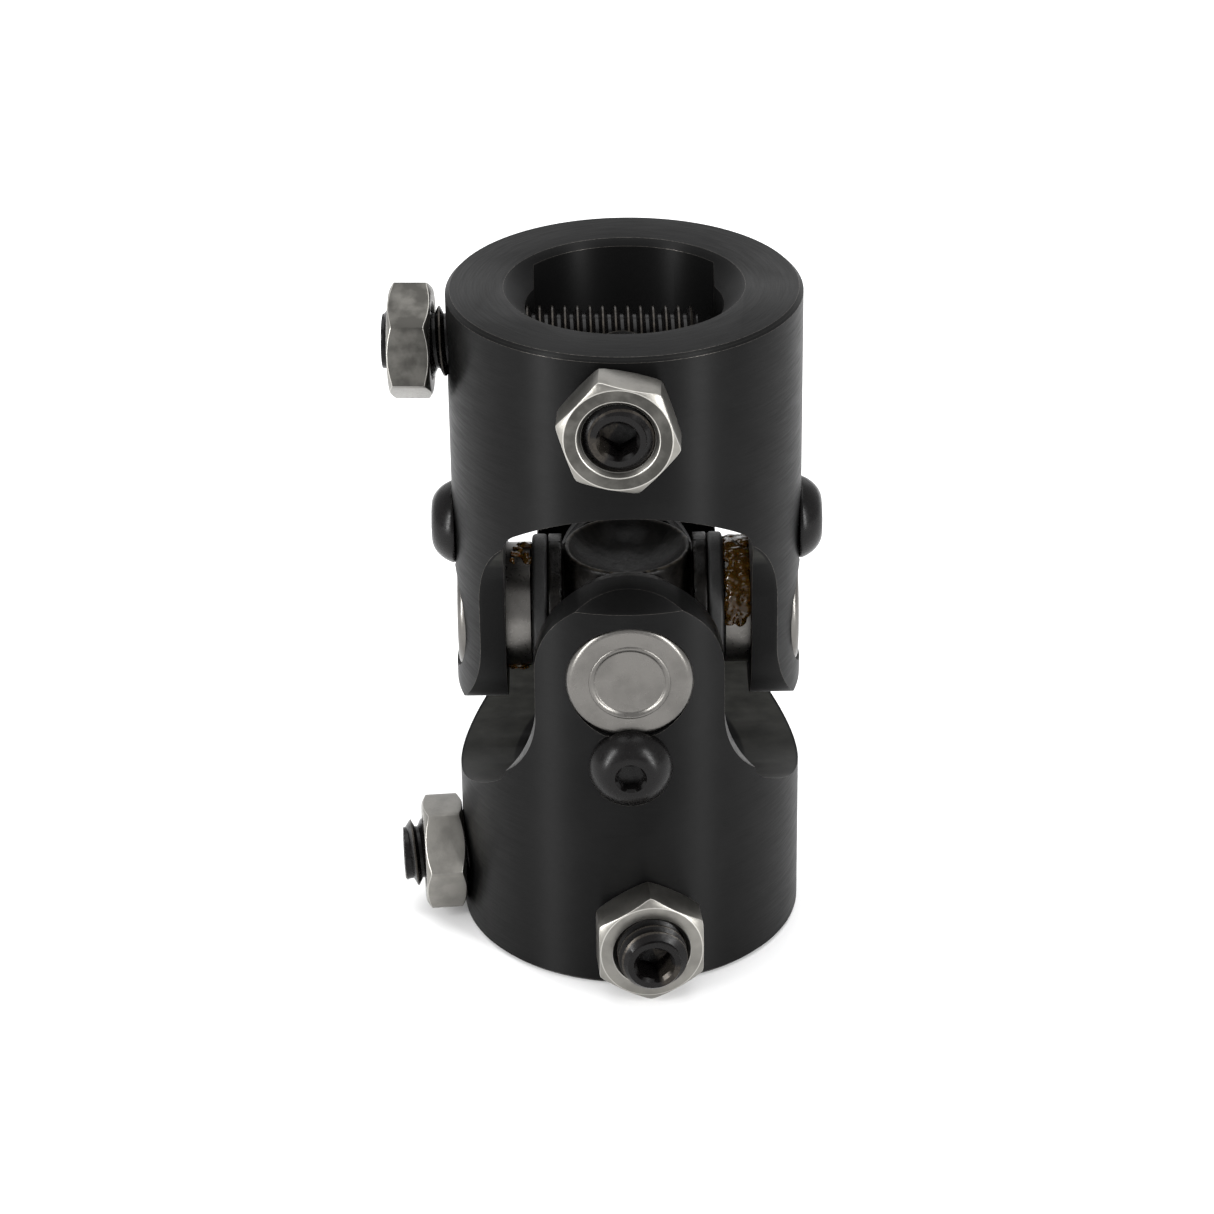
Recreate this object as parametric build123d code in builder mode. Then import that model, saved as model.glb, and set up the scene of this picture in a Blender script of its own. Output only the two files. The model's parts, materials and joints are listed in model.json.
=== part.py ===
"""Needle-bearing universal joint for a steering shaft, with two double-D sockets.

The origin is the centre of the lower end face, and +Z runs up the shaft axis.
The lower yoke's ears stand at the front (-Y) and rear (+Y), and the upper yoke's
ears hang at the left (-X) and right (+X). Both yokes are one design.
"""

import os
from math import asin, cos, pi, radians, sin, sqrt, tan

from build123d import *

# ---- Driving dimensions, in millimetres and degrees -------------------------

# Yokes
body_radius = 20.0  # turned outside of both yokes
yoke_length = 40.0  # end face to the centre of the joint
end_chamfer = 0.5
tip_wall = 3.57  # ear tip beyond the cup's bore
tip_cone_height = 1.82  # turned cone on the ear tips, along the shaft axis
tip_cone_width = 2.86  # and across it
ear_wall = 3.57  # flank of an ear beyond the cup's bore
flank_drop = 5.6  # straight flank of an ear below the trunnion axis
flare_radius = 12.45  # concave flare from the flank into the body
flare_angle = 77.0
slot_half_width = 14.0  # between the inner faces of a yoke's ears
slot_floor_radius = 20.8  # floor is an arc about the centre of the joint
slot_corner_radius = 3.5

# Double-D sockets
socket_diameter = 25.5
socket_across_flats = 20.4
pilot_diameter = 22.3
mouth_radius = 13.5  # outer edge of the 45 degree lead-in

# Bearing cups and what they hold
cup_diameter = 14.3
cup_inset = 0.4  # outer face below the turned outside of the yoke
cup_mouth = 11.0  # open end
cup_edge_radius = 0.9
cup_recess_diameter = 8.8
cup_recess_depth = 0.5
needle_diameter = 1.5
needle_length = 4.6
needle_play = 0.02  # radial, inside and outside the needles
needle_end_gap = 0.3
trunnion_diameter = 9.4
pad_thickness = 1.0
pad_gap = 0.05  # trunnion end to thrust pad
press_gap = 0.01  # radial, cup in its ear
seal_diameter = 16.0  # also the shoulder's, clear of the seals on both sides
seal_thickness = 1.8
seal_bore_gap = 0.3
seal_face_gap = 0.1  # seal to the shoulder of the cross

# Cross
shoulder_thickness = 1.5
hub_height = 7.5  # each boss above and below the trunnion axes
hub_rim_radius = 7.35
hub_waist_radius = 8.3
dish_radius = 6.6
dish_depth = 2.2
dish_bow_radius = 4.1  # a point part of the way up the dish's curve
dish_bow_rise = 0.308
hub_rim_lip = 0.3  # softened edges of the boss's rim
hub_rim_depth = 1.6
hub_waist_depth = 4.5
arm_radius = 5.2
trunnion_chamfer = 0.4

# Cup retaining screws, M5 button heads
button_gap = 3.6  # axis of the screw from the cup's bore, towards the yoke's body
button_head_diameter = 9.5
button_head_height = 2.75
button_head_brim = 0.3  # upright edge of the head
button_head_edge = 0.15  # bevel under the brim
button_crown = 0.42  # shares of the head's radius and height that shape its dome
button_shoulder = (0.78, 0.72)
button_shank_diameter = 5.0
button_shank_length = 5.3
button_shank_chamfer = 0.5
button_pocket_clearance = 0.2  # radial, head in its pocket
button_hex = 3.0
button_hex_depth = 1.6
button_hex_turn = 30.0
button_seat_gap = 0.05  # underside of the head over the cup's face

# Set screws and jam nuts, 5/16 inch, 18 threads per inch
screw_diameter = 7.94
screw_play = 0.03  # radial, stands for the thread's clearance
screw_hex = 3.97
screw_hex_depth = 4.0
screw_end_chamfer = 0.9
lower_screw_inset = 7.6  # axis of the set screws from the yoke's end face
upper_screw_inset = 6.9
lower_screw_turn = 5.0  # degrees that each pair is turned about the shaft
upper_screw_turn = -2.2
nut_across_flats = 12.0
nut_thickness = 4.76
nut_chamfer_angle = 30.0
nut_countersink = 0.5
nut_face_inset = 0.1  # edge of the flat washer face inside the flats

# Each set screw: yoke, side, how far it stands out of the body, its tip from the
# shaft axis (negative is past the axis), the nut's gap to the body and its turn
set_screws = {
    "upper_left": ("upper", "left", 7.2, -8.2, 1.6, 6.5),
    "upper_front": ("upper", "front", 6.0, 5.0, 1.0, 18.0),
    "lower_left": ("lower", "left", 7.2, 7.2, 0.05, -22.0),
    "lower_front": ("lower", "front", 7.7, 7.7, 0.05, 0.0),
}

# ---- Worked-out sizes --------------------------------------------------------

tip_height = cup_diameter / 2 + tip_wall
ear_half_width = cup_diameter / 2 + ear_wall
cup_face = body_radius - cup_inset
button_offset = cup_diameter / 2 + button_gap
needle_circle = trunnion_diameter / 2 + needle_play + needle_diameter / 2
needle_count = int(pi / asin(needle_diameter / 2 / needle_circle))
cup_bore_radius = needle_circle + needle_diameter / 2 + needle_play
seal_inner_face = cup_mouth - seal_thickness
shoulder_face = seal_inner_face - seal_face_gap
needle_start = cup_mouth + needle_end_gap
trunnion_end = needle_start + needle_length + needle_end_gap / 2
pad_face = trunnion_end + pad_gap
cup_floor = pad_face + pad_thickness
button_seat = cup_face + button_seat_gap
hole_radius = screw_diameter / 2 + screw_play

joint_plane = Plane.XY.offset(yoke_length)
outward = {"front": (0, -1), "rear": (0, 1), "left": (-1, 0), "right": (1, 0)}
yoke_of_cup = {"front": "lower", "rear": "lower", "left": "upper", "right": "upper"}

# Each yoke is drawn with its ears along +Z and its trunnion axis along Y
yoke_frame = {
    "lower": Plane(origin=joint_plane.origin, x_dir=(1, 0, 0), z_dir=(0, 0, 1)),
    "upper": Plane(origin=joint_plane.origin, x_dir=(0, 1, 0), z_dir=(0, 0, -1)),
}


def side_frame(side, height, turn=0.0):
    """A plane on the shaft axis whose normal points out through one side."""
    x, y = outward[side]
    c, s = cos(radians(turn)), sin(radians(turn))
    normal = (x * c - y * s, x * s + y * c, 0)
    return Plane(origin=(0, 0, height), x_dir=(0, 0, 1), z_dir=normal)


def screw_frame(yoke, side):
    """The frame of a set screw: on the shaft axis, normal along the screw."""
    if yoke == "lower":
        return side_frame(side, lower_screw_inset, lower_screw_turn)
    return side_frame(side, 2 * yoke_length - upper_screw_inset, upper_screw_turn)


def turned(frame, turn):
    """The same plane, turned about its normal."""
    c, s = cos(radians(turn)), sin(radians(turn))
    return Plane(origin=frame.origin, x_dir=frame.x_dir * c + frame.y_dir * s, z_dir=frame.z_dir)


def hexagon(across_flats):
    """A hexagon in the current sketch, with a corner on its local X."""
    RegularPolygon(radius=across_flats / 2, side_count=6, major_radius=False)


# ---- Pieces -------------------------------------------------------------------


def make_yoke():
    """One yoke without its set-screw holes, in its own frame."""
    blank_reach = body_radius + 1
    slot_corner = -sqrt(slot_floor_radius**2 - slot_half_width**2)
    with BuildPart() as yoke:
        # Turned blank, with a cone that becomes the ear tips
        with BuildSketch(Plane.XZ):
            with BuildLine():
                Polyline(
                    (0, -yoke_length),
                    (body_radius - end_chamfer, -yoke_length),
                    (body_radius, end_chamfer - yoke_length),
                    (body_radius, tip_height - tip_cone_height),
                    (body_radius - tip_cone_width, tip_height),
                    (0, tip_height),
                    close=True,
                )
            make_face()
        revolve(axis=Axis.Z)

        # Milled outline of the ears: round tip, straight flank, concave flare
        with BuildSketch(Plane.XZ):
            with BuildLine():
                tip_centre = tip_height - ear_half_width
                CenterArc((0, tip_centre), ear_half_width, 0, 90)
                flank = Line((ear_half_width, tip_centre), (ear_half_width, -flank_drop))
                flare = JernArc(flank @ 1, (0, -1), flare_radius, flare_angle)
                Polyline(
                    flare @ 1,
                    ((flare @ 1).X + blank_reach, (flare @ 1).Y),
                    ((flare @ 1).X + blank_reach, -yoke_length - 1),
                    (0, -yoke_length - 1),
                )
                mirror(about=Plane.YZ)
            make_face()
        extrude(amount=blank_reach, both=True, mode=Mode.INTERSECT)

        # Slot between the ears
        with BuildSketch(Plane.YZ) as slot:
            with BuildLine():
                ThreePointArc(
                    (-slot_half_width, slot_corner),
                    (0, -slot_floor_radius),
                    (slot_half_width, slot_corner),
                )
                Polyline(
                    (slot_half_width, slot_corner),
                    (slot_half_width, tip_height + 1),
                    (-slot_half_width, tip_height + 1),
                    (-slot_half_width, slot_corner),
                )
            make_face()
            fillet(slot.vertices().group_by(Axis.Y)[0], slot_corner_radius)
        extrude(amount=blank_reach, both=True, mode=Mode.SUBTRACT)

        # Double-D socket with its pilot bore, open into the slot
        with BuildSketch(Plane.XY.offset(-yoke_length)) as socket:
            Circle(socket_diameter / 2)
            Rectangle(socket_diameter, socket_across_flats, mode=Mode.INTERSECT)
            Circle(pilot_diameter / 2)
        extrude(amount=yoke_length - slot_floor_radius / 2, mode=Mode.SUBTRACT)
        mouth_depth = mouth_radius - socket_across_flats / 2
        with Locations((0, 0, mouth_depth / 2 - yoke_length)):
            Cone(mouth_radius, mouth_radius - mouth_depth, mouth_depth, mode=Mode.SUBTRACT)

        # Bores for the cups, and seats and tapped holes for their retaining screws
        with BuildSketch(Plane.XZ):
            Circle(cup_diameter / 2 + press_gap)
        extrude(amount=blank_reach, both=True, mode=Mode.SUBTRACT)
        for facing in (-1, 1):
            seat = Plane(
                origin=(0, facing * button_seat, -button_offset),
                x_dir=(1, 0, 0),
                z_dir=(0, facing, 0),
            )
            with BuildSketch(seat):
                Circle(button_head_diameter / 2 + button_pocket_clearance)
            extrude(amount=blank_reach - button_seat, mode=Mode.SUBTRACT)
            with BuildSketch(seat):
                Circle(button_shank_diameter / 2 + press_gap)
            extrude(amount=-(button_seat - slot_half_width + 1), mode=Mode.SUBTRACT)
    return yoke.part


def drill_yoke(yoke_name):
    """A yoke in its place, with the holes for its own set screws."""
    with BuildPart() as yoke:
        add(plain_yoke.moved(yoke_frame[yoke_name].location))
        for owner, side, *_ in set_screws.values():
            if owner != yoke_name:
                continue
            with BuildSketch(screw_frame(owner, side)):
                Circle(hole_radius)
            extrude(amount=body_radius + 1, mode=Mode.SUBTRACT)
    return yoke.part


def make_cross():
    """Forged hub with four arms, each with a shoulder and a ground trunnion."""
    with BuildPart() as cross:
        # Hub with a dished boss on top, mirrored below
        with BuildSketch(Plane(origin=joint_plane.origin, x_dir=(1, 0, 0), z_dir=(0, -1, 0))):
            with BuildLine():
                floor = hub_height - dish_depth
                Line((0, 0), (0, floor))
                ThreePointArc(
                    (0, floor),
                    (dish_bow_radius, floor + dish_bow_rise),
                    (dish_radius, hub_height - hub_rim_lip),
                )
                Polyline(
                    (dish_radius, hub_height - hub_rim_lip),
                    (dish_radius + hub_rim_lip, hub_height),
                    (hub_rim_radius - hub_rim_lip, hub_height),
                    (hub_rim_radius, hub_height - hub_rim_lip),
                    (hub_rim_radius, hub_height - hub_rim_depth),
                    (hub_waist_radius, hub_height - hub_waist_depth),
                    (hub_waist_radius, 0),
                    (0, 0),
                )
            make_face()
        revolve(axis=Axis.Z)
        mirror(about=joint_plane)

        # Arms with their shoulders and trunnions
        for side in outward:
            frame = side_frame(side, yoke_length)
            with BuildSketch(Plane(origin=frame.origin, x_dir=frame.z_dir, z_dir=frame.y_dir)):
                with BuildLine():
                    Polyline(
                        (0, 0),
                        (0, arm_radius),
                        (shoulder_face - shoulder_thickness, arm_radius),
                        (shoulder_face - shoulder_thickness, seal_diameter / 2),
                        (shoulder_face, seal_diameter / 2),
                        (shoulder_face, trunnion_diameter / 2),
                        (trunnion_end - trunnion_chamfer, trunnion_diameter / 2),
                        (trunnion_end, trunnion_diameter / 2 - trunnion_chamfer),
                        (trunnion_end, 0),
                        close=True,
                    )
                make_face()
            revolve(axis=Axis(frame.origin, frame.z_dir))
    return cross.part


def make_cup(side):
    """Drawn bearing cup with a rounded edge and a shallow round recess."""
    frame = side_frame(side, yoke_length)
    outer, recess = cup_diameter / 2, cup_recess_diameter / 2
    with BuildPart() as cup:
        with BuildSketch(Plane(origin=frame.origin, x_dir=frame.z_dir, z_dir=frame.y_dir)) as profile:
            with BuildLine():
                Polyline(
                    (cup_floor, 0),
                    (cup_floor, cup_bore_radius),
                    (cup_mouth, cup_bore_radius),
                    (cup_mouth, outer),
                    (cup_face, outer),
                    (cup_face, recess),
                    (cup_face - cup_recess_depth, recess - cup_recess_depth),
                    (cup_face - cup_recess_depth, 0),
                    close=True,
                )
            make_face()
            crown = profile.vertices().group_by(Axis.X)[-1].sort_by(Axis.Y)[-1]
            fillet(crown, cup_edge_radius)
            ledge = profile.vertices().group_by(Axis.X)[-1].sort_by(Axis.Y)[0]
            fillet(ledge, cup_recess_depth / 2)
        revolve(axis=Axis(frame.origin, frame.z_dir))
    return cup.part


def ring(frame, start, thickness, outer_radius, inner_radius=0.0):
    """A plain ring, or a disc, along a frame's normal."""
    with BuildPart() as piece:
        with BuildSketch(frame.offset(start)):
            Circle(outer_radius)
            if inner_radius:
                Circle(inner_radius, mode=Mode.SUBTRACT)
        extrude(amount=thickness)
    return piece.part


def make_seal(side):
    """Rubber seal with softened edges, between a cup and the cross."""
    with BuildPart() as seal:
        inner = trunnion_diameter / 2 + seal_bore_gap
        add(ring(side_frame(side, yoke_length), seal_inner_face, seal_thickness, seal_diameter / 2, inner))
        rim = seal.edges().filter_by(GeomType.CIRCLE).group_by(SortBy.RADIUS)[-1]
        fillet(rim, seal_thickness / 4)
    return seal.part


def make_needles(side):
    """The full set of loose needles in one cup, round the trunnion."""
    with BuildPart() as needles:
        with BuildSketch(side_frame(side, yoke_length).offset(needle_start)):
            with PolarLocations(needle_circle, needle_count):
                Circle(needle_diameter / 2)
        extrude(amount=needle_length)
    return needles.part


def make_button_screw(side):
    """Button-head screw whose head laps over the cup's rim."""
    inward = -1 if yoke_of_cup[side] == "lower" else 1
    height = yoke_length + inward * button_offset
    frame = side_frame(side, height).offset(button_seat)
    head, shank = button_head_diameter / 2, button_shank_diameter / 2
    crown = button_crown * head
    brim = (head, button_head_brim)
    with BuildPart() as screw:
        with BuildSketch(Plane(origin=frame.origin, x_dir=frame.x_dir, z_dir=-frame.y_dir)):
            with BuildLine():
                Polyline(
                    (crown, button_head_height),
                    (0, button_head_height),
                    (0, -button_shank_length),
                    (shank - button_shank_chamfer, -button_shank_length),
                    (shank, button_shank_chamfer - button_shank_length),
                    (shank, 0),
                    (head - button_head_edge, 0),
                    brim,
                )
                ThreePointArc(
                    brim,
                    (button_shoulder[0] * head, button_shoulder[1] * button_head_height),
                    (crown, button_head_height),
                )
            make_face()
        revolve(axis=Axis(frame.origin, frame.z_dir))
        with BuildSketch(turned(frame.offset(button_head_height), button_hex_turn)):
            hexagon(button_hex)
        extrude(amount=-button_hex_depth, mode=Mode.SUBTRACT)
    return screw.part


def make_set_screw(yoke, side, stand_out, tip):
    """Socket set screw, drawn at its thread's major diameter."""
    frame = screw_frame(yoke, side)
    end = body_radius + stand_out
    with BuildPart() as screw:
        with BuildSketch(frame.offset(tip)):
            Circle(screw_diameter / 2)
        extrude(amount=end - tip)
        rims = screw.edges().filter_by(GeomType.CIRCLE)
        chamfer(rims, screw_end_chamfer)
        with BuildSketch(frame.offset(end)):
            hexagon(screw_hex)
        extrude(amount=-screw_hex_depth, mode=Mode.SUBTRACT)
    return screw.part


def make_nut(yoke, side, gap, turn):
    """Thin hexagon nut with both faces chamfered round its corners."""
    seat = body_radius + gap
    frame = turned(screw_frame(yoke, side).offset(seat), turn)
    corner = nut_across_flats / 2 / cos(pi / 6)
    face = nut_across_flats / 2 - nut_face_inset
    drop = (corner - face) * tan(radians(nut_chamfer_angle))
    bore = hole_radius
    with BuildPart() as nut:
        with BuildSketch(frame):
            hexagon(nut_across_flats)
        extrude(amount=nut_thickness)
        with BuildSketch(Plane(origin=frame.origin, x_dir=frame.x_dir, z_dir=-frame.y_dir)):
            with BuildLine():
                Polyline(
                    (bore + nut_countersink, 0),
                    (face, 0),
                    (corner, drop),
                    (corner, nut_thickness - drop),
                    (face, nut_thickness),
                    (bore + nut_countersink, nut_thickness),
                    (bore, nut_thickness - nut_countersink),
                    (bore, nut_countersink),
                    close=True,
                )
            make_face()
        revolve(axis=Axis(frame.origin, frame.z_dir), mode=Mode.INTERSECT)
    return nut.part


# ---- Assembly ------------------------------------------------------------------

plain_yoke = make_yoke()
pieces = {"lower_yoke": drill_yoke("lower"), "upper_yoke": drill_yoke("upper"), "cross": make_cross()}
for side in outward:
    trunnion_frame = side_frame(side, yoke_length)
    pieces[f"{side}_bearing_cup"] = make_cup(side)
    pieces[f"{side}_thrust_pad"] = ring(trunnion_frame, pad_face, pad_thickness, cup_bore_radius - press_gap)
    pieces[f"{side}_needle_rollers"] = make_needles(side)
    pieces[f"{side}_seal"] = make_seal(side)
    pieces[f"{side}_cup_screw"] = make_button_screw(side)
for screw_name, (yoke, side, stand_out, tip, gap, turn) in set_screws.items():
    pieces[f"{screw_name}_set_screw"] = make_set_screw(yoke, side, stand_out, tip)
    pieces[f"{screw_name}_jam_nut"] = make_nut(yoke, side, gap, turn)

os.makedirs("parts", exist_ok=True)
for piece_name, part in pieces.items():
    part.label = piece_name
    export_step(part, f"parts/{piece_name}.step")
print(f"{len(pieces)} pieces, {2 * yoke_length:.1f} mm long, cup bore radius {cup_bore_radius:.3f} mm")
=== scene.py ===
"""Finishes a steering universal joint: two black yokes, a forged cross, bearings, screws and nuts.

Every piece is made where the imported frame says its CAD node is, in metres, with +Z up.
"""

import json
import math
import random

import bmesh
import bpy
from bpy.props import FloatProperty, FloatVectorProperty, IntProperty, PointerProperty
from mathutils import Matrix, Vector, noise


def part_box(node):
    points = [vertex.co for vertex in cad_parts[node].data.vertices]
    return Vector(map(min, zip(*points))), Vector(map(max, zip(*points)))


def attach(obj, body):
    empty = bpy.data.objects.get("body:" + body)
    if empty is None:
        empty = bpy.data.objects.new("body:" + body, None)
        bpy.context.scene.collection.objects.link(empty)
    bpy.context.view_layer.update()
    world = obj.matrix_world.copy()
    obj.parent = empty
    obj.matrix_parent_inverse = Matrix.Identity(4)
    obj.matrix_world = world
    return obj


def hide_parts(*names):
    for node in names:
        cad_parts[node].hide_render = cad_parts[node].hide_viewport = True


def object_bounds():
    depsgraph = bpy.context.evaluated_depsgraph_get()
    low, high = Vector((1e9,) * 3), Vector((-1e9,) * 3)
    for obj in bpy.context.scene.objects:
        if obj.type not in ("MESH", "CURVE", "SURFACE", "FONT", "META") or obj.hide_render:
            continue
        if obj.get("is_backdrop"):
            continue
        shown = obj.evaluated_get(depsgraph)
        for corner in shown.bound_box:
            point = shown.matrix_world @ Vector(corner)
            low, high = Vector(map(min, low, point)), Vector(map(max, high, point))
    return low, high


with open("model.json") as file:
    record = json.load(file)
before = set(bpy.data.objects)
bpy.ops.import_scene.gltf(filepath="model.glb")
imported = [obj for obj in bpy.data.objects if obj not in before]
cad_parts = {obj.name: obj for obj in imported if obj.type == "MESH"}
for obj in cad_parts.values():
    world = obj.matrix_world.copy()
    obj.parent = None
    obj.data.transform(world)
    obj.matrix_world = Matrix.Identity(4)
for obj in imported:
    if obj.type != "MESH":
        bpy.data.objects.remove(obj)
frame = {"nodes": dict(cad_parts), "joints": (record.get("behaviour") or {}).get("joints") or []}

bl_info = {
    "name": "Steering universal joint",
    "version": (1, 0, 0),
    "blender": (4, 5, 0),
    "location": "3D View > Sidebar > Joint",
    "description": "Makes the finished pieces of a needle-bearing universal joint",
    "category": "Object",
}

MM = 0.001
WELD = 0.002 * MM  # points nearer than this are one point
CAD_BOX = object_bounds()
HINGES = {joint["child"]: joint for joint in frame["joints"] if joint["type"] == "hinge"}
SLIDES = {joint["child"]: joint for joint in frame["joints"] if joint["type"] == "slide"}
CENTRE = Vector(HINGES["cross"]["pos_m"])
BODY_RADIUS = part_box("upper_yoke")[1].x
EAR_TIP = CENTRE.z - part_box("upper_yoke")[0].z
SOCKET_RADIUS = 13.5 * MM
SIDES = {
    "front": (Vector((0, -1, 0)), "lower_yoke"),
    "rear": (Vector((0, 1, 0)), "lower_yoke"),
    "left": (Vector((-1, 0, 0)), "upper_yoke"),
    "right": (Vector((1, 0, 0)), "upper_yoke"),
}
SET_SCREWS = ("upper_left", "upper_front", "lower_left", "lower_front")
# How much painted shade darkens each nut's outer face and lower flats
NUT_PAINTED_SHADE = {
    "upper_left": (0.3, 1.0),
    "upper_front": (1.0, 0.1),
    "lower_left": (0.1, 0.1),
    "lower_front": (0.15, 0.0),
}
# How far each nut and each screw's socket is turned about its axis, in degrees
NUT_TURNS = {"upper_left": 6.5, "upper_front": 18.0, "lower_left": -22.0, "lower_front": 0.0}
SOCKET_TURNS = {"upper_left": 10.0, "upper_front": 0.0, "lower_left": 25.0, "lower_front": 12.0}
# Each light: name, place and size in metres, power in watts
LIGHTS = (
    ("left_softbox", (-0.52, -0.42, 0.22), (0.10, 0.6), 6.0),
    ("right_softbox", (0.47, -0.47, 0.22), (0.10, 0.6), 5.4),
    ("top_softbox", (0.0, 0.15, 0.75), (0.7, 0.7), 4.2),
    ("back_softbox", (0.0, 0.95, 0.50), (1.4, 0.5), 1.2),
)


# ---- Small helpers -------------------------------------------------------------


def hex_colour(code):
    """An sRGB hex colour as linear RGB."""
    channels = [int(code[i : i + 2], 16) / 255 for i in (0, 2, 4)]
    return [c / 12.92 if c <= 0.04045 else ((c + 0.055) / 1.055) ** 2.4 for c in channels]


def per_mm(size):
    """The texture scale that makes one feature this many millimetres wide."""
    return 1 / (size * MM)


def look(name):
    """The settings of one group of pieces."""
    return getattr(bpy.context.scene, name)


def facing(point, axis, turn=0.0):
    """A frame at a point with local Z along an axis and local X upwards, then turned."""
    z = Vector(axis).normalized()
    up = Vector((0, 0, 1))
    x = (up - z * up.dot(z)).normalized()
    basis = Matrix((x, z.cross(x), z)).transposed().to_4x4()
    return Matrix.Translation(point) @ basis @ Matrix.Rotation(math.radians(turn), 4, "Z")


def reach(node, point, axis):
    """Where a CAD node starts and ends along an axis, in metres from a point on it."""
    spans = [(v.co - point).dot(axis) for v in frame["nodes"][node].data.vertices]
    return min(spans), max(spans)


def finish_piece(name, bm, place, material, node, body, sharp=30.0):
    """Turns a bmesh into a piece that stands for a CAD node and rides on its body."""
    bmesh.ops.transform(bm, matrix=place, verts=bm.verts)
    bmesh.ops.recalc_face_normals(bm, faces=bm.faces)
    mesh = bpy.data.meshes.new(name)
    bm.to_mesh(mesh)
    bm.free()
    mesh.shade_smooth()
    mesh.set_sharp_from_angle(angle=math.radians(sharp))
    piece = bpy.data.objects.new(name, mesh)
    bpy.context.scene.collection.objects.link(piece)
    piece.data.materials.append(material)
    if node:
        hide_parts(node)
    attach(piece, body)
    return piece


def true_round(piece):
    """Gives the turned outside of a yoke the normals of a true cylinder, free of facets."""
    mesh = piece.data
    normals = [corner.vector.copy() for corner in mesh.corner_normals]
    for face in mesh.polygons:
        spots = [mesh.vertices[i].co for i in face.vertices]
        if all(math.hypot(spot.x, spot.y) > BODY_RADIUS - 0.01 * MM for spot in spots):
            for corner, spot in zip(face.loop_indices, spots):
                normals[corner] = Vector((spot.x, spot.y, 0)).normalized()
    mesh.normals_split_custom_set(normals)


def merged_copy(node):
    """A bmesh of a CAD node with its loose triangles joined and its flats whole."""
    bm = bmesh.new()
    bm.from_mesh(frame["nodes"][node].data)
    bmesh.ops.remove_doubles(bm, verts=bm.verts, dist=WELD)
    bmesh.ops.dissolve_limit(bm, angle_limit=math.radians(0.5), verts=bm.verts, edges=bm.edges)
    return bm


def remeshed(context, mesh, voxel):
    """A bmesh of the same volume, with an even skin and every gap closed."""
    source = bpy.data.objects.new("remesh_source", mesh)
    context.scene.collection.objects.link(source)
    weld = source.modifiers.new("weld", "WELD")
    weld.merge_threshold = WELD
    remesh = source.modifiers.new("remesh", "REMESH")
    remesh.mode = "VOXEL"
    remesh.voxel_size = voxel
    skin = bpy.data.meshes.new_from_object(source.evaluated_get(context.evaluated_depsgraph_get()))
    bpy.data.objects.remove(source)
    bm = bmesh.new()
    bm.from_mesh(skin)
    return bm


def relax(bm, verts, rounds):
    """Smooths some vertices a number of times."""
    for _ in range(rounds):
        bmesh.ops.smooth_vert(
            bm, verts=verts, factor=0.5, use_axis_x=True, use_axis_y=True, use_axis_z=True
        )


def soften_edges(bm, width, angle, wear):
    """Breaks the sharp edges, and marks the broken edges as worn in an attribute."""
    layer = bm.faces.layers.float.get(wear) or bm.faces.layers.float.new(wear)
    sharp = [e for e in bm.edges if e.is_manifold and e.calc_face_angle(0) > math.radians(angle)]
    made = bmesh.ops.bevel(
        bm,
        geom=sharp,
        offset=width,
        offset_type="OFFSET",
        segments=2,
        profile=0.5,
        affect="EDGES",
        clamp_overlap=True,
        material=-1,
        loop_slide=True,
    )
    for face in made["faces"]:
        face[layer] = 1.0


def arc(start, end, count):
    """Evenly spaced angles from one number of degrees to another, in radians."""
    return [math.radians(start + (end - start) * i / count) for i in range(count + 1)]


def turn_profile(points, steps):
    """Spins a list of (radius, height) points round Z into a bmesh."""
    bm = bmesh.new()
    verts = [bm.verts.new((radius, 0, height)) for radius, height in points]
    edges = [bm.edges.new(pair) for pair in zip(verts, verts[1:])]
    bmesh.ops.spin(
        bm,
        geom=verts + edges,
        cent=(0, 0, 0),
        axis=(0, 0, 1),
        angle=math.tau,
        steps=steps,
        use_merge=True,
    )
    bmesh.ops.remove_doubles(bm, verts=bm.verts, dist=0.001 * MM)
    return bm


def cap_at(bm, height):
    """Closes the open edge at one height with a single flat face."""
    rim = [
        e for e in bm.edges if e.is_boundary and all(abs(v.co.z - height) < 0.01 * MM for v in e.verts)
    ]
    return bmesh.ops.contextual_create(bm, geom=rim)["faces"][0]


def step_in(bm, face, outline, height):
    """Insets a flat face, then puts its corners on an outline at a new height."""
    bmesh.ops.inset_individual(bm, faces=[face], thickness=0.001 * MM)
    for vert in face.verts:
        angle = math.atan2(vert.co.y, vert.co.x)
        radius = outline(angle)
        vert.co = Vector((radius * math.cos(angle), radius * math.sin(angle), height))


def hexagon_radius(across, angle):
    """The radius of a hexagon with a corner on its X, at an angle."""
    sector = math.pi / 3
    return across / 2 / math.cos(angle % sector - sector / 2)


def sink_hexagon(bm, face, across, depth):
    """Opens a hexagon socket with a coned mouth and a drill point in a flat face."""
    top = face.verts[0].co.z
    mouth, drill, point = across / math.sqrt(3) * 1.04, across * 0.46, across * 0.02
    for outline, drop in (
        (lambda angle: mouth, 0),
        (lambda angle: hexagon_radius(across, angle), 0.1 * across),
        (lambda angle: hexagon_radius(across, angle), depth),
        (lambda angle: drill, depth * 1.01),
        (lambda angle: point, depth * 1.12),
    ):
        step_in(bm, face, outline, top - drop)


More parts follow.
